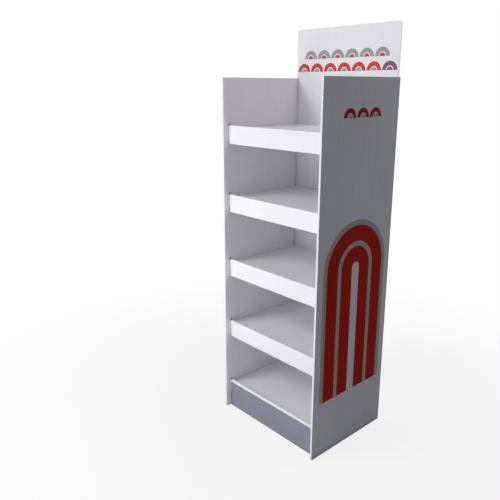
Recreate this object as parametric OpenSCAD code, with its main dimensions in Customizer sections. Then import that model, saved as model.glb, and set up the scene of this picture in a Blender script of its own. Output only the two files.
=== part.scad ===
/* [Rack] */
// Width over the two side panels
rack_w = 530; // [400:1:700]
// Depth of the side panels, front edge to rear flange
rack_d = 435; // [300:1:600]
// Height of the side panels
panel_h = 1450; // [1250:1:1800]
// Height of the header card above the side panels
header_h = 200; // [80:1:300]
// Radius of the header card's top corners
header_corner_r = 12; // [2:1:40]

/* [Sheet] */
// Thickness of the fluted sheet
sheet_t = 4; // [3:0.5:5]
// Space between the two layers where a sheet is folded double
fold_gap = 2; // [1.5:0.5:4]
// Clearance between sheets that lie against each other
seat_gap = 0.2; // [0.1:0.1:0.5]

/* [Side panels] */
// Width of the flange that turns in behind the back panel
rear_flange_w = 45; // [40:1:80]
// Gap between the inner layer's rear edge and the back panel
inner_layer_gap = 4; // [1:0.5:10]

/* [Shelf heights] */
// Height of the base tray's lip above the floor
base_h = 128; // [90:1:200]
// Height of the lowest shelf's lip above the floor
lowest_shelf_h = 419; // [340:1:500]
// Distance from the top shelf's lip to the top of the side panels
top_bay_h = 185; // [100:1:260]

/* [Shelves] */
// Distance of the lip behind the front edge of the side panels
lip_recess = 25; // [12:1:60]
// Height of a shelf's lip
lip_h = 74; // [64:1:110]
// How far the lip stands above the deck
lip_rise = 11; // [5:1:30]
// Gap between each end of the lip and the side panel
lip_end_gap = 4; // [2:0.5:8]
// Corner cut off the lip's lower ends
lip_corner = 5; // [1:0.5:8]
// Gap between the deck and the side panel
deck_side_gap = 1; // [0.5:0.5:3]
// Depth of the flanges under a shelf, from the top of its deck
shelf_flange_h = 36; // [30:1:60]
// Length of the notch at the deck's front corners
front_notch = 8; // [3:1:20]
// Relief between flanges that meet at a rear corner
corner_relief = 2; // [1:0.5:6]

/* [Ears and slots] */
// Height of the ear at each end of a lip
ear_h = 50; // [20:1:54]
// How far the ear reaches past the slotted layer
ear_tip = 1; // [0.5:0.1:1.3]
// Depth of the slot from front to back
slot_w = 9; // [6:0.5:14]
// Height of the slot above the ear, to tilt the shelf in
slot_over = 12; // [4:1:30]

/* [Push rivets] */
// Diameter of the rivet's head
rivet_head_d = 14; // [10:0.5:18]
// Height of the rivet's domed head
rivet_head_h = 2.5; // [1.5:0.5:4]
// Diameter of the rivet's shank
rivet_shank_d = 6; // [4:0.5:8]
// Clearance of the shank in its holes, over the diameter
rivet_hole_gap = 0.4; // [0.2:0.1:1]
// How much wider than the shank the locked tail spreads
rivet_spread = 3; // [1.5:0.5:5]
// Length of the rivet's tail
rivet_tail_l = 6; // [4:0.5:10]
// Distance from the rear flange's free edge to the rivets
rivet_edge = 14; // [10:1:18]
// Distance from the top of a deck down to its rivets
rivet_drop = 20; // [16:1:22]

/* [Hidden] */
$fn = 48;
half_t = sheet_t / 2;
overlap = sheet_t;

// Widths: the double wall of a side panel, and the clear width between the two
wall_w = 2 * sheet_t + fold_gap;
inner_w = rack_w - 2 * wall_w;
back_w = rack_w - 2 * (sheet_t + seat_gap);
lip_w = inner_w - 2 * lip_end_gap;

// Depths, measured back from the front edge of the side panels
back_y = rack_d - 2 * sheet_t - seat_gap;
lip_y = lip_recess + half_t;
return_y = lip_y + sheet_t + fold_gap;
shelf_rear_y = back_y - seat_gap - half_t;
front_y = -(rack_d + rivet_head_h) / 2;

// Middle of a shelf's side flange, out from the centre
side_flange_x = inner_w / 2 - deck_side_gap - half_t;

// Top of each lip above the floor: the shelves from the top down, then the base tray
shelf_pitch = (panel_h - top_bay_h - lowest_shelf_h) / 3;
shelf_tops = [for (i = [0 : 3]) panel_h - top_bay_h - i * shelf_pitch];
lip_tops = concat(shelf_tops, [base_h]);

rivet_x = rack_w / 2 - rear_flange_w + rivet_edge;
rivet_hole_d = rivet_shank_d + rivet_hole_gap;
rivet_grip = rack_d - shelf_rear_y + half_t;

function rivet_z(lip_top) = lip_top - lip_rise - rivet_drop;
function ear_top(lip_top) = lip_top - sheet_t;
function ear_bottom(lip_top) = ear_top(lip_top) - ear_h;

// Section of a folded sheet whose middle runs through the given points, round at each fold
module folded_sheet(path) {
    for (i = [0 : len(path) - 2]) {
        run = path[i + 1] - path[i];
        translate(path[i])
            rotate(atan2(run[1], run[0]))
                translate([0, -half_t])
                    square([norm(run), sheet_t]);
    }
    for (i = [1 : len(path) - 2])
        translate(path[i])
            circle(half_t);
}

// Draws a section of depth and height along the rack's width, centred
module across(width) {
    rotate([90, 0, 90])
        linear_extrude(width, center = true)
            children();
}

// Draws a section of width and height from one depth to another
module front_to_back(from_y, to_y) {
    translate([0, to_y, 0])
        rotate([90, 0, 0])
            linear_extrude(to_y - from_y)
                children();
}

// Places a copy on the right and its mirror image on the left
module both_sides() {
    children();
    mirror([1, 0, 0])
        children();
}

// The part's origin is at the middle of the floor under it
module from_front() {
    translate([0, front_y, 0])
        children();
}

// A pair of rivet holes through the sheets behind one deck
module rivet_holes(lip_top) {
    both_sides()
        translate([rivet_x, rack_d + overlap, rivet_z(lip_top)])
            rotate([90, 0, 0])
                cylinder(h = rivet_grip + 2 * overlap, d = rivet_hole_d);
}

// Slot in the inner layer of the right side panel that takes one ear
module ear_slot(lip_top) {
    slot_bottom = ear_bottom(lip_top) - seat_gap;
    slot_h = ear_top(lip_top) + slot_over - slot_bottom;
    translate([inner_w / 2 - fold_gap / 2, lip_recess - seat_gap, slot_bottom])
        cube([sheet_t + fold_gap, slot_w, slot_h]);
}

// Folded double round its front edge, with a flange turned in behind the back panel
module side_panel() {
    outer_x = rack_w / 2 - half_t;
    inner_x = inner_w / 2 + half_t;
    from_front()
        difference() {
            linear_extrude(panel_h)
                folded_sheet([
                    [inner_x, back_y - inner_layer_gap],
                    [inner_x, half_t],
                    [outer_x, half_t],
                    [outer_x, rack_d - half_t],
                    [rack_w / 2 - rear_flange_w, rack_d - half_t]
                ]);
            for (lip_top = lip_tops)
                ear_slot(lip_top);
            for (lip_top = shelf_tops)
                rivet_holes(lip_top);
        }
}

// Outline of the back panel with the header's two rounded top corners
module back_outline() {
    total_h = panel_h + header_h;
    corner_x = back_w / 2 - header_corner_r;
    translate([-back_w / 2, 0])
        square([back_w, total_h - header_corner_r]);
    translate([-corner_x, 0])
        square([2 * corner_x, total_h]);
    for (side = [-1, 1])
        translate([side * corner_x, total_h - header_corner_r])
            circle(header_corner_r);
}

module back_panel() {
    color("white")
        from_front()
            difference() {
                front_to_back(back_y, back_y + sheet_t)
                    back_outline();
                for (lip_top = shelf_tops)
                    rivet_holes(lip_top);
            }
}

module right_side_panel() {
    color("gray")
        side_panel();
}

module left_side_panel() {
    color("gray")
        mirror([1, 0, 0])
            side_panel();
}

// Front of a tray: up from the deck, over, and down as the lip, with an ear at each end
module tray_front(lip_top, front_h) {
    deck_z = lip_top - lip_rise - half_t;
    ear_reach = inner_w / 2 + sheet_t + ear_tip;
    across(lip_w)
        folded_sheet([
            [lip_y, lip_top - front_h],
            [lip_y, lip_top - half_t],
            [return_y, lip_top - half_t],
            [return_y, deck_z],
            [return_y + overlap, deck_z]
        ]);
    translate([-ear_reach, lip_recess, ear_bottom(lip_top)])
        cube([2 * ear_reach, sheet_t, ear_h]);
}

// Corners cut off the lower ends of a hanging lip
module lip_corner_cuts(lip_bottom) {
    both_sides()
        front_to_back(lip_recess - overlap, lip_recess + 2 * sheet_t)
            translate([lip_w / 2, lip_bottom])
                rotate(45)
                    square(lip_corner * sqrt(2), center = true);
}

// Deck with its sides and rear turned down as flanges
module tray_deck(lip_top, flange_bottom) {
    deck_z = lip_top - lip_rise - half_t;
    deck_x = side_flange_x - half_t;
    deck_rear_y = shelf_rear_y - half_t;
    translate([-deck_x, return_y, deck_z - half_t])
        cube([2 * deck_x, deck_rear_y - return_y, sheet_t]);
    across(2 * (deck_x - corner_relief))
        folded_sheet([
            [deck_rear_y - overlap, deck_z],
            [shelf_rear_y, deck_z],
            [shelf_rear_y, flange_bottom]
        ]);
    both_sides()
        front_to_back(return_y + half_t + front_notch, deck_rear_y - corner_relief)
            folded_sheet([
                [deck_x - overlap, deck_z],
                [side_flange_x, deck_z],
                [side_flange_x, flange_bottom]
            ]);
}

// One sheet folded into a shelf, with its lip hanging below the deck
module shelf(lip_top) {
    color("white")
        from_front()
            difference() {
                union() {
                    tray_front(lip_top, lip_h);
                    tray_deck(lip_top, lip_top - lip_rise - shelf_flange_h);
                }
                lip_corner_cuts(lip_top - lip_h);
                rivet_holes(lip_top);
            }
}

// The lowest tray, its lip and flanges carried down to the floor
module base_tray() {
    color("lightslategray")
        from_front() {
            tray_front(base_h, base_h);
            tray_deck(base_h, 0);
        }
}

// Half section of a push rivet, its head's underside at zero and its tail upward
module rivet_section() {
    shank_r = rivet_shank_d / 2;
    tail_r = shank_r + rivet_spread / 2;
    polygon([
        [0, -rivet_head_h],
        [rivet_head_d / 4, -rivet_head_h],
        [rivet_head_d / 2, -rivet_head_h / 3],
        [rivet_head_d / 2, 0],
        [shank_r, 0],
        [shank_r, rivet_grip],
        [tail_r, rivet_grip + rivet_tail_l / 3],
        [shank_r / 2, rivet_grip + rivet_tail_l],
        [0, rivet_grip + rivet_tail_l]
    ]);
}

// Rivets that pin each shelf and both side panels to the back panel
module push_rivets() {
    color("white")
        from_front()
            for (lip_top = shelf_tops)
                both_sides()
                    translate([rivet_x, rack_d, rivet_z(lip_top)])
                        rotate([90, 0, 0])
                            rotate_extrude()
                                rivet_section();
}

back_panel();
left_side_panel();
right_side_panel();
shelf(shelf_tops[0]);  // top_shelf
shelf(shelf_tops[1]);  // second_shelf
shelf(shelf_tops[2]);  // third_shelf
shelf(shelf_tops[3]);  // fourth_shelf
base_tray();
push_rivets();
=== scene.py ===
import math

import bmesh
import bpy
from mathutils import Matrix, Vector


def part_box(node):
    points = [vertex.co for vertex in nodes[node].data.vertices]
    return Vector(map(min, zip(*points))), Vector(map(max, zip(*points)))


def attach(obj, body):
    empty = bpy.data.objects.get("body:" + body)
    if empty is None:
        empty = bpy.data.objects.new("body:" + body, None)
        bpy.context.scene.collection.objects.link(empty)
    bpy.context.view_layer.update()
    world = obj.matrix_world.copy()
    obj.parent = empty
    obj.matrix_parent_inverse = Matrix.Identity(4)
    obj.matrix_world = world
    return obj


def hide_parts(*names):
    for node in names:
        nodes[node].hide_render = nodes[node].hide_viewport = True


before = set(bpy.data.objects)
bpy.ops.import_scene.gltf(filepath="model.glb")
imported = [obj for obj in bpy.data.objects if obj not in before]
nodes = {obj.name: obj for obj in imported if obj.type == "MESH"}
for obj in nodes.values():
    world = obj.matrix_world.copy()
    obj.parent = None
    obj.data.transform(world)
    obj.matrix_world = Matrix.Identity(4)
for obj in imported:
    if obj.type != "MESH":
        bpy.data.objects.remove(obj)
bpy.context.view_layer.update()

# Back panel and header card.
# One flat sheet of twin-wall polypropylene, extruded with upright flutes and die-cut with round top corners.
# The header card is the same sheet carried on above the sides; rivets hold it against the rear flanges.
MM = 0.001
SHEET = 4 * MM
LINER = 0.4 * MM
WEB = 0.4 * MM
FLUTE_PITCH = 4.4 * MM
HEADER_CORNER = 12 * MM
RIVET_HOLE = 6.4 * MM
RIVET_HEAD = 14 * MM
RIVET_BELOW_LIP = 31 * MM
ROUND_STEPS = 24
WELD = 0.001 * MM
POLYPROPYLENE_IOR = 1.49
SATIN_ROUGHNESS = (0.38, 0.52)
SATIN_SHINE = 0.5
shelf_names = ["top_shelf", "second_shelf", "third_shelf", "fourth_shelf"]
back_low, back_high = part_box("back_panel")
back_middle = (back_low.y + back_high.y) / 2
rivet_low, rivet_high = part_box("push_rivets")
rivet_x = rivet_high.x - RIVET_HEAD / 2
lip_tops = [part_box(name)[1].z for name in shelf_names]
shelf_pitch = (lip_tops[0] - lip_tops[-1]) / (len(shelf_names) - 1)
lowest_rivet = lip_tops[-1] - RIVET_BELOW_LIP


def linear(colour):
    """An sRGB hex colour as linear red, green, blue and alpha."""
    parts = [int(colour[i:i + 2], 16) / 255 for i in (1, 3, 5)]
    return [c / 12.92 if c <= 0.04045 else ((c + 0.055) / 1.055) ** 2.4 for c in parts] + [1.0]


def add_node(tree, kind, inputs=None, **settings):
    """Adds a node with its settings, and gives each named input a value or a link."""
    node = tree.nodes.new(kind)
    for name, value in settings.items():
        setattr(node, name, value)
    for name, value in (inputs or {}).items():
        if isinstance(value, bpy.types.NodeSocket):
            tree.links.new(value, node.inputs[name])
        else:
            node.inputs[name].default_value = value
    return node


def blank_material(name):
    """A new material with an empty node tree."""
    material = bpy.data.materials.new(name)
    material.use_nodes = True
    material.node_tree.nodes.clear()
    return material


def sheet_material(name, colour, clouded, along, roughness=SATIN_ROUGHNESS, shine=SATIN_SHINE, wear_and_shade=()):
    """Polypropylene sheet: cloudy tone, streaks and ridges along its flutes, and edges marked in specks, as
    rubbed wear and as painted shade.

    along is the flutes' axis. Each marked edge gives its axis, its place there, and the reach and tone of
    its mark: a pale tone is rubbed wear, a dark one is painted shade.
    """
    cloud_size = 180 * MM
    streak_length = 160 * MM
    # Streaks are two flutes wide, because lines as narrow as one flute are too fine to show in the render
    streak_width = 2 * FLUTE_PITCH
    speck_size = 5 * MM
    ridge_height = 0.012 * MM
    # A wave texture of scale 1 repeats at this length
    wave_repeat = math.pi / 10
    # Noise keeps near its middle value, so only these parts of its range are used
    tone_from, tone_to = 0.75, 1.25
    gloss_from, gloss_to = 0.3, 0.7
    wear_shade_from, wear_shade_to = 0.36, 0.6
    most_wear_and_shade = 0.7
    material = blank_material(name)
    tree = material.node_tree
    place = add_node(tree, "ShaderNodeTexCoord").outputs["Object"]
    clouds = add_node(tree, "ShaderNodeTexNoise", {"Vector": place, "Scale": 1 / cloud_size, "Detail": 3.0})
    stretch = [1 / (streak_length if axis == along else streak_width) for axis in "XYZ"]
    drawn = add_node(tree, "ShaderNodeMapping", {"Vector": place, "Scale": stretch})
    streaks = add_node(tree, "ShaderNodeTexNoise", {"Vector": drawn.outputs[0], "Scale": 1.0, "Detail": 2.0})
    both = add_node(tree, "ShaderNodeMath", {0: clouds.outputs["Fac"], 1: streaks.outputs["Fac"]},
                    operation="ADD")
    tone = add_node(tree, "ShaderNodeMapRange", {"Value": both.outputs[0], "From Min": tone_from,
                                                 "From Max": tone_to})
    shade = add_node(tree, "ShaderNodeMix", {0: tone.outputs[0], 6: linear(clouded), 7: linear(colour)},
                     data_type="RGBA").outputs[2]
    if wear_and_shade:
        apart = add_node(tree, "ShaderNodeSeparateXYZ", {0: place}).outputs
        specks = add_node(tree, "ShaderNodeTexNoise", {"Vector": place, "Scale": 1 / speck_size,
                                                       "Detail": 4.0})
    # Each edge is mixed toward its tone in specks: rubbed wear where the tone is pale, painted shade where
    # it is dark
    for axis, at, reach, wear_and_shade_tone in wear_and_shade:
        off = add_node(tree, "ShaderNodeMath", {0: apart[axis], 1: at}, operation="SUBTRACT")
        off = add_node(tree, "ShaderNodeMath", {0: off.outputs[0]}, operation="ABSOLUTE")
        near = add_node(tree, "ShaderNodeMapRange", {"Value": off.outputs[0], "From Max": reach,
                                                     "To Min": 1.0, "To Max": 0.0})
        patchy = add_node(tree, "ShaderNodeMath", {0: near.outputs[0], 1: specks.outputs["Fac"]},
                          operation="MULTIPLY")
        wear_and_shade_mix = add_node(tree, "ShaderNodeMapRange", {"Value": patchy.outputs[0], "From Min": wear_shade_from,
                                                     "From Max": wear_shade_to, "To Max": most_wear_and_shade})
        shade = add_node(tree, "ShaderNodeMix", {0: wear_and_shade_mix.outputs[0], 6: shade, 7: linear(wear_and_shade_tone)},
                         data_type="RGBA").outputs[2]
    gloss = add_node(tree, "ShaderNodeMapRange", {"Value": streaks.outputs["Fac"], "From Min": gloss_from,
                                                  "From Max": gloss_to, "To Min": roughness[0],
                                                  "To Max": roughness[1]})
    ridges = None
    for axis in "XYZ".replace(along, ""):
        wave = add_node(tree, "ShaderNodeTexWave", {"Vector": place, "Scale": wave_repeat / FLUTE_PITCH},
                        bands_direction=axis).outputs["Fac"]
        if ridges:
            wave = add_node(tree, "ShaderNodeMath", {0: ridges, 1: wave}, operation="ADD").outputs[0]
        ridges = wave
    bump = add_node(tree, "ShaderNodeBump", {"Height": ridges, "Distance": ridge_height, "Strength": 1.0})
    skin = add_node(tree, "ShaderNodeBsdfPrincipled", {"Base Color": shade, "Roughness": gloss.outputs[0],
                                                       "Normal": bump.outputs[0],
                                                       "IOR": POLYPROPYLENE_IOR,
                                                       "Specular IOR Level": shine})
    add_node(tree, "ShaderNodeOutputMaterial", {"Surface": skin.outputs[0]})
    return material


# White polypropylene, twin-wall extruded: a cool white satin skin, faintly streaked along upright flutes
white_upright = sheet_material("white polypropylene sheet with upright flutes", "#F1F1F4", "#ECECF0", "Z")


def shape_tree(name, sizes):
    """An empty Geometry Nodes tree from shape to shape, with its sizes and a material as named inputs."""
    tree = bpy.data.node_groups.new(name, "GeometryNodeTree")
    tree.is_modifier = True
    for label, kind in [("Geometry", "Geometry")] + sizes + [("Material", "Material")]:
        tree.interface.new_socket(label, in_out="INPUT", socket_type="NodeSocket" + kind)
    tree.interface.new_socket("Geometry", in_out="OUTPUT", socket_type="NodeSocketGeometry")
    return tree


def fluted_sheet_tree():
    """Fills an outline seen from above, leaves flutes open along each centre line, and draws it upward."""
    tree = shape_tree("fluted_sheet", [("Height", "Float"), ("Pitch", "Float"), ("Web", "Float"),
                                       ("Flute Depth", "Float")])
    given = add_node(tree, "NodeGroupInput").outputs
    closed = add_node(tree, "GeometryNodeInputSplineCyclic")
    parted = add_node(tree, "GeometryNodeSeparateGeometry", {"Geometry": given["Geometry"],
                                                             "Selection": closed.outputs[0]}, domain="CURVE")
    spots = add_node(tree, "GeometryNodeCurveToPoints", {"Curve": parted.outputs["Inverted"],
                                                         "Length": given["Pitch"]}, mode="LENGTH")
    turned = add_node(tree, "FunctionNodeAlignRotationToVector", {"Vector": spots.outputs["Tangent"]},
                      axis="X", pivot_axis="Z")
    mouth = add_node(tree, "ShaderNodeMath", {0: given["Pitch"], 1: given["Web"]}, operation="SUBTRACT")
    flute = add_node(tree, "GeometryNodeCurvePrimitiveQuadrilateral", {"Width": mouth.outputs[0],
                                                                       "Height": given["Flute Depth"]})
    flutes = add_node(tree, "GeometryNodeInstanceOnPoints", {"Points": spots.outputs["Points"],
                                                             "Instance": flute.outputs[0],
                                                             "Rotation": turned.outputs[0]})
    openings = add_node(tree, "GeometryNodeRealizeInstances", {"Geometry": flutes.outputs[0]})
    section = add_node(tree, "GeometryNodeJoinGeometry")
    tree.links.new(openings.outputs[0], section.inputs[0])
    tree.links.new(parted.outputs["Selection"], section.inputs[0])
    filled = add_node(tree, "GeometryNodeFillCurve", {"Curve": section.outputs[0]})
    risen = add_node(tree, "GeometryNodeExtrudeMesh", {"Mesh": filled.outputs[0], "Individual": False,
                                                       "Offset Scale": given["Height"]}, mode="FACES")
    foot = add_node(tree, "GeometryNodeFlipFaces", {"Mesh": filled.outputs[0]})
    solid = add_node(tree, "GeometryNodeJoinGeometry")
    tree.links.new(risen.outputs[0], solid.inputs[0])
    tree.links.new(foot.outputs[0], solid.inputs[0])
    welded = add_node(tree, "GeometryNodeMergeByDistance", {"Geometry": solid.outputs[0],
                                                            "Distance": WELD})
    whole = add_node(tree, "GeometryNodeRealizeInstances", {"Geometry": welded.outputs[0]})
    dressed = add_node(tree, "GeometryNodeSetMaterial", {"Geometry": whole.outputs[0],
                                                         "Material": given["Material"]})
    add_node(tree, "NodeGroupOutput", {"Geometry": dressed.outputs[0]})
    return tree


def set_inputs(modifier, **values):
    """Sets a Geometry Nodes modifier's inputs by their sockets' identifiers."""
    for item in modifier.node_group.interface.items_tree:
        key = item.name.lower().replace(" ", "_")
        if item.in_out == "INPUT" and key in values:
            modifier[item.identifier] = values[key]


def linked_object(name, data):
    """A new object in the scene, from its mesh, curve, lamp or camera."""
    item = bpy.data.objects.new(name, data)
    bpy.context.scene.collection.objects.link(item)
    return item


def plain_mesh(obj, name, material):
    """An object's finished shape as a new mesh object with no modifiers; the first object is removed."""
    bpy.context.view_layer.update()
    shape = obj.evaluated_get(bpy.context.evaluated_depsgraph_get())
    mesh = bpy.data.meshes.new_from_object(shape)
    mesh.name = name
    mesh.materials.clear()
    mesh.materials.append(material)
    for face in mesh.polygons:
        face.material_index = 0
    bpy.data.objects.remove(obj)
    return linked_object(name, mesh)


def fluted_sheet(name, outline, centre_lines, height, material):
    """A sheet with upright flutes, from its outline and centre lines seen from above."""
    curve = bpy.data.curves.new(name, "CURVE")
    curve.dimensions = "3D"
    for points, closed in [(outline, True)] + [(line, False) for line in centre_lines]:
        spline = curve.splines.new("POLY")
        spline.points.add(len(points) - 1)
        spline.use_cyclic_u = closed
        for point, (x, y) in zip(spline.points, points):
            point.co = (x, y, 0, 1)
    plan = linked_object(name + "_plan", curve)
    modifier = plan.modifiers.new("flutes", "NODES")
    modifier.node_group = sheet_tree
    set_inputs(modifier, height=height, pitch=FLUTE_PITCH, web=WEB, flute_depth=SHEET - 2 * LINER,
               material=material)
    return plain_mesh(plan, name, material)


def arc(radius, start, turn, steps=ROUND_STEPS):
    """Points of an arc about the origin; a whole turn leaves out its last point."""
    last = steps if turn == 2 * math.pi else steps + 1
    angles = [start + turn * i / steps for i in range(last)]
    return [(radius * math.cos(a), radius * math.sin(a)) for a in angles]


def prism(name, outline, lift):
    """A closed solid on an outline of points, drawn along a lift."""
    mesh = bpy.data.meshes.new(name)
    shape = bmesh.new()
    low = [shape.verts.new(point) for point in outline]
    high = [shape.verts.new(Vector(point) + Vector(lift)) for point in outline]
    shape.faces.new(low)
    shape.faces.new(high)
    for i in range(len(low)):
        j = (i + 1) % len(low)
        shape.faces.new((low[i], low[j], high[j], high[i]))
    bmesh.ops.recalc_face_normals(shape, faces=shape.faces)
    bmesh.ops.triangulate(shape, faces=[face for face in shape.faces if len(face.verts) > 4])
    shape.to_mesh(mesh)
    shape.free()
    return linked_object(name, mesh)


def rows_tree():
    """Sets copies of one shape in rows: Count copies a Step apart, and Rows of them a Row Step apart."""
    tree = shape_tree("rows", [("Start", "Vector"), ("Step", "Vector"), ("Row Step", "Vector"),
                               ("Count", "Int"), ("Rows", "Int")])
    given = add_node(tree, "NodeGroupInput").outputs
    row = add_node(tree, "GeometryNodeMeshLine", {"Count": given["Count"], "Offset": given["Step"]},
                   mode="OFFSET")
    starts = add_node(tree, "GeometryNodeMeshLine", {"Count": given["Rows"], "Offset": given["Row Step"],
                                                     "Start Location": given["Start"]}, mode="OFFSET")
    lattice = add_node(tree, "GeometryNodeInstanceOnPoints", {"Points": starts.outputs[0],
                                                              "Instance": row.outputs[0]})
    spots = add_node(tree, "GeometryNodeRealizeInstances", {"Geometry": lattice.outputs[0]})
    placed = add_node(tree, "GeometryNodeInstanceOnPoints", {"Points": spots.outputs[0],
                                                             "Instance": given["Geometry"]})
    whole = add_node(tree, "GeometryNodeRealizeInstances", {"Geometry": placed.outputs[0]})
    dressed = add_node(tree, "GeometryNodeSetMaterial", {"Geometry": whole.outputs[0],
                                                         "Material": given["Material"]})
    add_node(tree, "NodeGroupOutput", {"Geometry": dressed.outputs[0]})
    return tree


def in_rows(shape, name, material, start=(0, 0, 0), step=(0, 0, 0), count=1, row_step=(0, 0, 0), rows=1):
    """Copies of a shape in rows, as one plain mesh object; the first shape is removed."""
    modifier = shape.modifiers.new("rows", "NODES")
    modifier.node_group = copies_tree
    set_inputs(modifier, start=start, step=step, count=count, row_step=row_step, rows=rows,
               material=material)
    return plain_mesh(shape, name, material)


def rivet_hole_die(sheet_y, first_x, step_x=0, columns=1):
    """A die for the rivet holes through one sheet, in columns with a hole behind each shelf."""
    rim = [(u, sheet_y - SHEET, v) for u, v in arc(RIVET_HOLE / 2, 0, 2 * math.pi)]
    hole = prism("rivet_hole", rim, (0, 2 * SHEET, 0))
    return in_rows(hole, "rivet_hole_die", white_upright, (first_x, 0, lowest_rivet), (step_x, 0, 0),
                   columns, (0, 0, shelf_pitch), len(shelf_names))


def die_cut(sheet, dies):
    """Cuts each die's shape out of a sheet, and removes the dies."""
    name, material = sheet.name, sheet.data.materials[0]
    sheet.name = name + "_uncut"
    for die in dies:
        cut = sheet.modifiers.new(die.name, "BOOLEAN")
        cut.operation = "DIFFERENCE"
        cut.object = die
    done = plain_mesh(sheet, name, material)
    for die in dies:
        bpy.data.objects.remove(die)
    return done


sheet_tree = fluted_sheet_tree()
copies_tree = rows_tree()
back_outline = [(back_low.x, back_low.y), (back_high.x, back_low.y),
                (back_high.x, back_high.y), (back_low.x, back_high.y)]
back_line = [(back_low.x + FLUTE_PITCH, back_middle), (back_high.x - FLUTE_PITCH, back_middle)]
back_sheet = fluted_sheet("back_panel_sheet", back_outline, [back_line], back_high.z, white_upright)
quarter_turn = math.pi / 2
past = HEADER_CORNER + SHEET
waste = arc(HEADER_CORNER, 0, quarter_turn) + [(0, past), (past, past), (past, 0)]
corner_x, corner_z = back_high.x - HEADER_CORNER, back_high.z - HEADER_CORNER
corner_dies = []
for side in (-1, 1):
    rim = [(side * (corner_x + u), back_low.y - SHEET, corner_z + v) for u, v in waste]
    corner_dies.append(prism("header_corner_die", rim, (0, 3 * SHEET, 0)))
hole_die = rivet_hole_die(back_middle, -rivet_x, step_x=2 * rivet_x, columns=2)
back_sheet = die_cut(back_sheet, corner_dies + [hole_die])
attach(back_sheet, "root")
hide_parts("back_panel")

# Side panels.
# Each is one sheet folded double round its front edge, so that edge is a bare white strip; white inside.
# The outer layer is printed grey and turns in behind the back panel; slots in the inner one take the ears.
FOLD_GAP = 2 * MM
FOLD_ROUND = SHEET / 2
FOLD_STEPS = 6
INNER_LAYER_GAP = 4 * MM
SLOT_RECESS = 24.8 * MM
SLOT_LENGTH = 9 * MM
SLOT_ABOVE_LIP = 8 * MM
SLOT_BELOW_LIP = 54.2 * MM
INK_ROUGHNESS = (0.5, 0.62)
INK_SHINE = 0.1
RUB_REACH = 4 * MM
RUBBED_INK = "#E6E6EA"
# Painted shade: the grey print darkens in specks within this reach of the floor, standing in for the contact
# shade there
FLOOR_SHADE_REACH = 70 * MM
PAINTED_FLOOR_SHADE = "#4C4D51"
# A printed face's normal points outward by at least this much
LEAST_OUTWARD = 0.5
side_low, side_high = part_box("right_side_panel")
side_front, side_rear, side_face, side_top = side_low.y, side_high.y, side_high.x, side_high.z
base_low, base_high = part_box("base_tray")

# Grey screen ink on white polypropylene: an even matt grey, rubbed at the folds, and darkened in specks
# along the floor as painted shade
side_wear_and_shade = (("Y", side_front, RUB_REACH, RUBBED_INK), ("Y", side_rear, RUB_REACH, RUBBED_INK),
             ("Z", side_top, RUB_REACH, RUBBED_INK), ("Z", 0.0, FLOOR_SHADE_REACH, PAINTED_FLOOR_SHADE))
grey_print = sheet_material("grey ink on polypropylene sheet", "#9A9CA1", "#94969B", "Z", INK_ROUGHNESS,
                            INK_SHINE, side_wear_and_shade)

outer_in = side_face - SHEET
inner_out = outer_in - FOLD_GAP
inner_face = inner_out - SHEET
inner_rear = back_low.y - INNER_LAYER_GAP
rear_fold = [(side_face - FOLD_ROUND + u, side_rear - FOLD_ROUND + v)
             for u, v in arc(FOLD_ROUND, quarter_turn, -quarter_turn, FOLD_STEPS)]
front_fold = [(side_face - FOLD_ROUND + u, side_front + FOLD_ROUND + v)
              for u, v in arc(FOLD_ROUND, 0, -quarter_turn, FOLD_STEPS)]
inner_fold = [(inner_face + FOLD_ROUND + u, side_front + FOLD_ROUND + v)
              for u, v in arc(FOLD_ROUND, -quarter_turn, -quarter_turn, FOLD_STEPS)]
hollow = [(inner_face, inner_rear), (inner_out, inner_rear), (inner_out, side_front + SHEET),
          (outer_in, side_front + SHEET), (outer_in, side_rear - SHEET)]
flange = [(side_low.x, side_rear - SHEET), (side_low.x, side_rear)]
side_outline = hollow + flange + rear_fold + front_fold + inner_fold
outer_x, inner_x, flange_y = side_face - SHEET / 2, inner_face + SHEET / 2, side_rear - SHEET / 2
first_flute = side_front + SHEET + FLUTE_PITCH / 2
side_lines = [[(outer_x, first_flute), (outer_x, side_rear - SHEET - FLUTE_PITCH / 2)],
              [(inner_x, first_flute), (inner_x, inner_rear - FLUTE_PITCH)],
              [(outer_in - FLUTE_PITCH / 2, flange_y), (side_low.x + FLUTE_PITCH, flange_y)]]
slot_from, slot_to = inner_face - SHEET / 2, inner_out + FOLD_GAP / 2
slot_front = side_front + SLOT_RECESS
slot_rim = [(slot_from, slot_front), (slot_to, slot_front),
            (slot_to, slot_front + SLOT_LENGTH), (slot_from, slot_front + SLOT_LENGTH)]
slot_height = (0, 0, SLOT_BELOW_LIP + SLOT_ABOVE_LIP)
for side, node in ((1, "right_side_panel"), (-1, "left_side_panel")):
    outline = [(side * x, y) for x, y in side_outline]
    lines = [[(side * x, y) for x, y in line] for line in side_lines]
    panel = fluted_sheet(node + "_sheet", outline, lines, side_top, white_upright)
    rim = [(side * x, y, -SLOT_BELOW_LIP) for x, y in slot_rim]
    shelf_slots = in_rows(prism("shelf_slot", rim, slot_height), "shelf_slot_die", white_upright,
                          (0, 0, lip_tops[-1]), row_step=(0, 0, shelf_pitch), rows=len(shelf_names))
    base_slot = in_rows(prism("base_slot", rim, slot_height), "base_slot_die", white_upright,
                        (0, 0, base_high.z))
    panel = die_cut(panel, [rivet_hole_die(flange_y, side * rivet_x), shelf_slots, base_slot])
    panel.data.materials.append(grey_print)
    for face in panel.data.polygons:
        outward = face.normal.x * side > LEAST_OUTWARD
        if outward and face.center.x * side > side_face - FOLD_ROUND:
            face.material_index = 1
    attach(panel, "root")
    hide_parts(node)

# Shelves.
# Each is one sheet with flutes from side to side: the deck turns up, folds over and hangs as a white lip.
# An ear at each end of the lip goes into a slot of the side panel, and rivets hold the rear flange.

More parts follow.
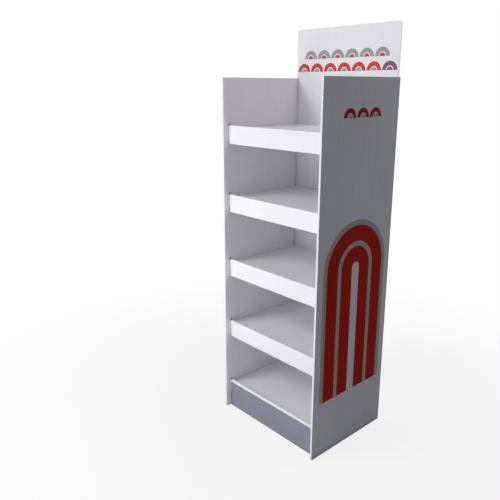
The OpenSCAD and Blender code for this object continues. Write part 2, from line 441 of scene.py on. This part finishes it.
# White polypropylene with flutes across the rack: the same cool white, streaked from left to right
white_across = sheet_material("white polypropylene sheet with level flutes", "#F1F1F4", "#ECECF0", "X")
for name in shelf_names:
    nodes[name].data.materials.clear()
    nodes[name].data.materials.append(white_across)

# Base tray with its kick plate.
# The same folded sheet as a shelf, with its lip and flanges carried down to the floor.
# The kick plate is printed blue-grey up to a bare white strip along its top fold.
BARE_STRIP = 11 * MM
LIP_END = 14 * MM
INK = 0.15 * MM
INK_LIFT = 0.05 * MM
nodes["base_tray"].data.materials.clear()
nodes["base_tray"].data.materials.append(white_across)

# Blue-grey screen ink on white polypropylene: matt, a little cooler than the sides, rubbed along the floor
kick_ink = sheet_material("blue-grey ink on polypropylene sheet", "#8E919F", "#878A98", "X", INK_ROUGHNESS,
                          INK_SHINE, (("Z", 0.0, RUB_REACH, RUBBED_INK),))


def ink_film(name, outlines, place, material):
    """Flat printed shapes as one piece; place turns two lengths and a rise off the sheet into a point."""
    mesh = bpy.data.meshes.new(name)
    joined = bmesh.new()
    lift = Vector(place(0, 0, INK)) - Vector(place(0, 0, 0))
    for outline in outlines:
        shape = prism(name + "_shape", [place(u, v, INK_LIFT) for u, v in outline], lift)
        joined.from_mesh(shape.data)
        bpy.data.objects.remove(shape)
    joined.to_mesh(mesh)
    joined.free()
    mesh.materials.append(material)
    return linked_object(name, mesh)


def on_kick_plate(across, up, proud):
    """A point on the kick plate's front face."""
    return (across, base_low.y - proud, up)


kick_half, kick_top = side_face - LIP_END, base_high.z - BARE_STRIP
kick_field = [(-kick_half, 0), (kick_half, 0), (kick_half, kick_top), (-kick_half, kick_top)]
kick_print = ink_film("kick_plate_print", [kick_field], on_kick_plate, kick_ink)
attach(kick_print, "root")

# Push rivets.
# Two-part snap rivets moulded in white nylon: a domed head with the drive pin's cap set in a ring groove.
# They are pushed in from behind, and the pin spreads the tail behind the shelf's rear flange.
RIVET_PIN = 5.2 * MM
RIVET_SHANK = 6 * MM
RIVET_TAIL = 9 * MM
RIVET_GROOVE = 0.7 * MM
GROOVE_FLOOR = 0.5 * MM
GROOVE_MOUTH = 0.6 * MM
RIVET_EASE = 0.5 * MM
# The head's curve, by height over its underside, and how far its brow stands in from its edge
RIVET_RIM = 0.8 * MM
RIVET_SHOULDER = 1.3 * MM
RIVET_BROW = 2.1 * MM
BROW_INSET = 1.5 * MM
RIVET_STEPS = 32
NYLON_IOR = 1.53
NYLON_ROUGHNESS = (0.28, 0.42)


def nylon_material():
    """Injection-moulded nylon: off-white, smooth and a little waxy, with a faint mottle."""
    mottle_size = 6 * MM
    material = blank_material("white moulded nylon")
    tree = material.node_tree
    place = add_node(tree, "ShaderNodeTexCoord").outputs["Object"]
    mottle = add_node(tree, "ShaderNodeTexNoise", {"Vector": place, "Scale": 1 / mottle_size, "Detail": 2.0})
    shade = add_node(tree, "ShaderNodeMix", {0: mottle.outputs["Fac"], 6: linear("#E4E3DF"),
                                             7: linear("#F0EFEB")}, data_type="RGBA")
    gloss = add_node(tree, "ShaderNodeMapRange", {"Value": mottle.outputs["Fac"],
                                                  "To Min": NYLON_ROUGHNESS[0],
                                                  "To Max": NYLON_ROUGHNESS[1]})
    skin = add_node(tree, "ShaderNodeBsdfPrincipled", {"Base Color": shade.outputs[2], "IOR": NYLON_IOR,
                                                       "Roughness": gloss.outputs[0]})
    add_node(tree, "ShaderNodeOutputMaterial", {"Surface": skin.outputs[0]})
    return material


head, under = rivet_high.y, side_rear
grip_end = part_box("top_shelf")[1].y - SHEET
tail_wide = grip_end - (grip_end - rivet_low.y) / 3
pin_r, head_r, shank_r = RIVET_PIN / 2, RIVET_HEAD / 2, RIVET_SHANK / 2
pin_section = [(0, head), (pin_r - RIVET_EASE, head), (pin_r, head - RIVET_EASE),
               (pin_r, head - RIVET_GROOVE)]
head_section = [(pin_r + GROOVE_FLOOR, head - RIVET_GROOVE), (pin_r + GROOVE_MOUTH, head),
                (head_r - BROW_INSET, under + RIVET_BROW), (head_r - RIVET_EASE, under + RIVET_SHOULDER),
                (head_r, under + RIVET_RIM), (head_r, under)]
shank_section = [(shank_r, under), (shank_r, grip_end), (RIVET_TAIL / 2, tail_wide),
                 (shank_r / 2, rivet_low.y), (0, rivet_low.y)]
turned = bmesh.new()
points = [turned.verts.new((r, y, 0)) for r, y in pin_section + head_section + shank_section]
edges = [turned.edges.new(pair) for pair in zip(points, points[1:])]
bmesh.ops.spin(turned, geom=points + edges, cent=(0, 0, 0), axis=(0, 1, 0), angle=2 * math.pi,
               steps=RIVET_STEPS)
bmesh.ops.remove_doubles(turned, verts=turned.verts, dist=WELD)
bmesh.ops.recalc_face_normals(turned, faces=turned.faces)
rivet_mesh = bpy.data.meshes.new("one_rivet")
turned.to_mesh(rivet_mesh)
turned.free()
rivet = linked_object("one_rivet", rivet_mesh)

# White nylon, injection-moulded: an off-white, faintly mottled skin with a soft waxy shine
white_nylon = nylon_material()
rivets = in_rows(rivet, "snap_rivets", white_nylon, (-rivet_x, 0, lowest_rivet), (2 * rivet_x, 0, 0),
                 count=2, row_step=(0, 0, shelf_pitch), rows=len(shelf_names))
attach(rivets, "root")
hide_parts("push_rivets")

# Print on the side panels.
# Plain decoration, screen-printed on each outer face: nested arches, and three half rounds near the top.
# Each arch is two straight legs and a half round, in deep red between bands of olive grey.
ARCH_STEPS = 40
ARCH_BASE = 230 * MM
ARCH_LEG = 520 * MM
ARCH_RED = 62 * MM
ARCH_OLIVE = 20 * MM
ARCH_HALF = 185 * MM
HALF_ROUND = 34 * MM
HALF_ROUND_BAND = 17 * MM
HALF_ROUND_CORE = 13 * MM
HALF_ROUND_PITCH = 73 * MM
TRIO = 3
TRIO_BASE = 1310 * MM
RED_SHINE = 0.02

# Deep red screen ink on grey: dead matt, which keeps its colour deep, and slightly uneven over the flutes
deep_red = sheet_material("deep red ink on polypropylene sheet", "#801409", "#781107", "Z", INK_ROUGHNESS,
                          RED_SHINE)
# Olive grey screen ink: the matt mid tone that outlines the red
olive_grey = sheet_material("olive grey ink on polypropylene sheet", "#77786F", "#6F7068", "Z",
                            INK_ROUGHNESS, INK_SHINE)


def arch(middle, base, half, leg, band=None):
    """Outline of an arch on two legs: a band of the given width, or solid."""
    crown = arc(half, 0, math.pi, ARCH_STEPS)
    points = [(middle + u, base + leg + v) for u, v in crown]
    if leg:
        points = [(middle + half, base)] + points + [(middle - half, base)]
    if band:
        points += reversed(arch(middle, base, half - band, leg))
    return points


def on_side(side):
    """A function for points on a side panel's outer face, from lengths along, up and proud of it."""
    middle = (side_front + side_rear) / 2
    return lambda along, up, proud: (side * (side_face + proud), middle + along, up)


inner_half = ARCH_HALF - ARCH_OLIVE - ARCH_RED
reds = [arch(0, ARCH_BASE, ARCH_HALF - ARCH_OLIVE, ARCH_LEG, ARCH_RED),
        arch(0, ARCH_BASE, inner_half - ARCH_OLIVE, ARCH_LEG, ARCH_RED)]
olives = [arch(0, ARCH_BASE, ARCH_HALF, ARCH_LEG, ARCH_OLIVE),
          arch(0, ARCH_BASE, inner_half, ARCH_LEG, ARCH_OLIVE)]
trio_from = -(TRIO - 1) / 2 * HALF_ROUND_PITCH
red_round = [arch(trio_from, TRIO_BASE, HALF_ROUND, 0, HALF_ROUND_BAND)]
olive_round = [arch(trio_from, TRIO_BASE, HALF_ROUND_CORE, 0)]
for side, word in ((1, "right"), (-1, "left")):
    prints = [ink_film(word + "_red_arches", reds, on_side(side), deep_red),
              ink_film(word + "_olive_arches", olives, on_side(side), olive_grey)]
    for name, outline, ink in (("_red_half_rounds", red_round, deep_red),
                               ("_olive_half_rounds", olive_round, olive_grey)):
        first = ink_film("first_half_round", outline, on_side(side), ink)
        prints.append(in_rows(first, word + name, ink, step=(0, HALF_ROUND_PITCH, 0), count=TRIO))
    for piece in prints:
        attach(piece, "root")

# Print on the header card.
# Two rows of half rounds, screen-printed on the white front face in coral red and grey.
# The upper row stands over the gaps of the lower one, which ends in one more half round in mauve.
HEADER_ROW = side_top + 26 * MM
ROW_RISE = 52 * MM
ROW_COUNT = 6

# Coral red screen ink on white: bright and matt
coral_red = sheet_material("coral red ink on polypropylene sheet", "#D4513F", "#CC4939", "Z", INK_ROUGHNESS,
                           INK_SHINE)
# Mid grey screen ink on white: flat and neutral
mid_grey = sheet_material("mid grey ink on polypropylene sheet", "#A7A9A9", "#9FA1A1", "Z", INK_ROUGHNESS,
                          INK_SHINE)
# Mauve screen ink on white: a dull purple red
mauve = sheet_material("mauve ink on polypropylene sheet", "#9A6076", "#925A70", "Z", INK_ROUGHNESS,
                       INK_SHINE)


def on_header(across, up, proud):
    """A point on the header card's front face."""
    return (across, back_low.y - proud, up)


lower_half, upper_half = ROW_COUNT / 2 * HALF_ROUND_PITCH, (ROW_COUNT - 1) / 2 * HALF_ROUND_PITCH
lower, upper = (-lower_half, HEADER_ROW), (-upper_half, HEADER_ROW + ROW_RISE)
last = (lower_half, HEADER_ROW)
prints = [ink_film("header_mauve_half_round", [arch(*last, HALF_ROUND, 0, HALF_ROUND_BAND),
                                               arch(*last, HALF_ROUND_CORE, 0)], on_header, mauve)]
for name, outline, ink in (("header_coral_bands", arch(*lower, HALF_ROUND, 0, HALF_ROUND_BAND), coral_red),
                           ("header_grey_cores", arch(*lower, HALF_ROUND_CORE, 0), mid_grey),
                           ("header_grey_bands", arch(*upper, HALF_ROUND, 0, HALF_ROUND_BAND), mid_grey),
                           ("header_coral_cores", arch(*upper, HALF_ROUND_CORE, 0), coral_red)):
    first = ink_film("first_half_round", [outline], on_header, ink)
    prints.append(in_rows(first, name, ink, step=(HALF_ROUND_PITCH, 0, 0), count=ROW_COUNT))
for piece in prints:
    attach(piece, "root")

# Studio.
# A pale matt floor that keeps the rack's shadow, under a world that shows white and lights the rack evenly.
# Soft boxes: the key at the upper left front, a lower one for the bays, and a wide one behind.
FLOOR_HALF = 30.0
# The floor shows this share of plain white within the shadow's reach, and all white from further out
NEAR_WHITE = 0.78
SHADOW_REACH = 0.5
WHITE_FROM = 2.0
FILL_STRENGTH = 0.42


def seen_directly(tree):
    """1 for rays from the camera, or that a gloss or a clear piece sends on; 0 for light on the rack."""
    rays = add_node(tree, "ShaderNodeLightPath").outputs
    either = add_node(tree, "ShaderNodeMath", {0: rays["Is Glossy Ray"], 1: rays["Is Transmission Ray"]},
                      operation="MAXIMUM")
    return add_node(tree, "ShaderNodeMath", {0: rays["Is Camera Ray"], 1: either.outputs[0]},
                    operation="MAXIMUM").outputs[0]


def floor_material():
    """Pale matt floor: shows the shadow near the rack and fades to white away from it."""
    material = blank_material("pale matt studio floor")
    tree = material.node_tree
    place = add_node(tree, "ShaderNodeTexCoord").outputs["Object"]
    away = add_node(tree, "ShaderNodeVectorMath", {0: place}, operation="LENGTH")
    fade = add_node(tree, "ShaderNodeMapRange", {"Value": away.outputs["Value"], "From Min": SHADOW_REACH,
                                                 "From Max": WHITE_FROM, "To Min": NEAR_WHITE},
                    interpolation_type="SMOOTHSTEP")
    glow = add_node(tree, "ShaderNodeMath", {0: seen_directly(tree), 1: fade.outputs[0]},
                    operation="MULTIPLY")
    matt = add_node(tree, "ShaderNodeBsdfDiffuse", {"Color": linear("#E6E6E8")})
    white = add_node(tree, "ShaderNodeEmission", {"Color": linear("#FFFFFF"), "Strength": 1.0})
    mixed = add_node(tree, "ShaderNodeMixShader", {0: glow.outputs[0], 1: matt.outputs[0],
                                                   2: white.outputs[0]})
    add_node(tree, "ShaderNodeOutputMaterial", {"Surface": mixed.outputs[0]})
    return material


floor_mesh = bpy.data.meshes.new("studio_floor")
corners = [(-FLOOR_HALF, -FLOOR_HALF, 0), (FLOOR_HALF, -FLOOR_HALF, 0),
           (FLOOR_HALF, FLOOR_HALF, 0), (-FLOOR_HALF, FLOOR_HALF, 0)]
floor_mesh.from_pydata(corners, [], [(0, 1, 2, 3)])
floor_mesh.materials.append(floor_material())
floor = linked_object("studio_floor", floor_mesh)

world = bpy.data.worlds.new("studio")
world.use_nodes = True
sky = world.node_tree
sky.nodes.clear()
fill = add_node(sky, "ShaderNodeBackground", {"Color": linear("#F6F1FA"), "Strength": FILL_STRENGTH})
white = add_node(sky, "ShaderNodeBackground", {"Color": linear("#FFFFFF"), "Strength": 1.0})
mixed = add_node(sky, "ShaderNodeMixShader", {0: seen_directly(sky), 1: fill.outputs[0],
                                              2: white.outputs[0]})
add_node(sky, "ShaderNodeOutputWorld", {"Surface": mixed.outputs[0]})
bpy.context.scene.world = world


def soft_box(name, towards, distance, size, watts):
    """A square lamp that faces the middle of the rack."""
    data = bpy.data.lights.new(name, "AREA")
    data.size = size
    data.energy = watts
    lamp = linked_object(name, data)
    direction = Vector(towards).normalized()
    lamp.location = Vector((0, 0, back_high.z / 2)) + direction * distance
    lamp.rotation_euler = direction.to_track_quat("Z", "Y").to_euler()


soft_box("key_light", towards=(-0.75, -1.5, 1.2), distance=3.6, size=1.2, watts=40)
soft_box("bay_fill", towards=(-0.3, -1.0, -0.05), distance=1.6, size=0.8, watts=8)
soft_box("rear_fill", towards=(0.3, 1.0, 0.45), distance=3.6, size=2.0, watts=42)

# Camera.
# It looks down on the rack from the right, at the photograph's viewing angle.
# The frame is shifted a little low, which keeps the upright edges nearer to parallel, as in the photograph.
PHOTO_PX = 500
FOCAL_PX = 559.8
CENTRE_ROW_PX = 236
SENSOR_MM = 36
CAMERA_PLACE = (1.5136, -1.6579, 1.4201)
YAW, PITCH = 0.8413, 0.2629
camera_data = bpy.data.cameras.new("camera")
camera_data.sensor_width = SENSOR_MM
camera_data.lens = SENSOR_MM * FOCAL_PX / PHOTO_PX
camera_data.shift_y = (CENTRE_ROW_PX - PHOTO_PX / 2) / PHOTO_PX
camera = linked_object("camera", camera_data)
camera.location = CAMERA_PLACE
camera.rotation_euler = (math.pi / 2 - PITCH, 0, YAW)
bpy.context.scene.camera = camera
bpy.context.scene.view_settings.view_transform = "Standard"
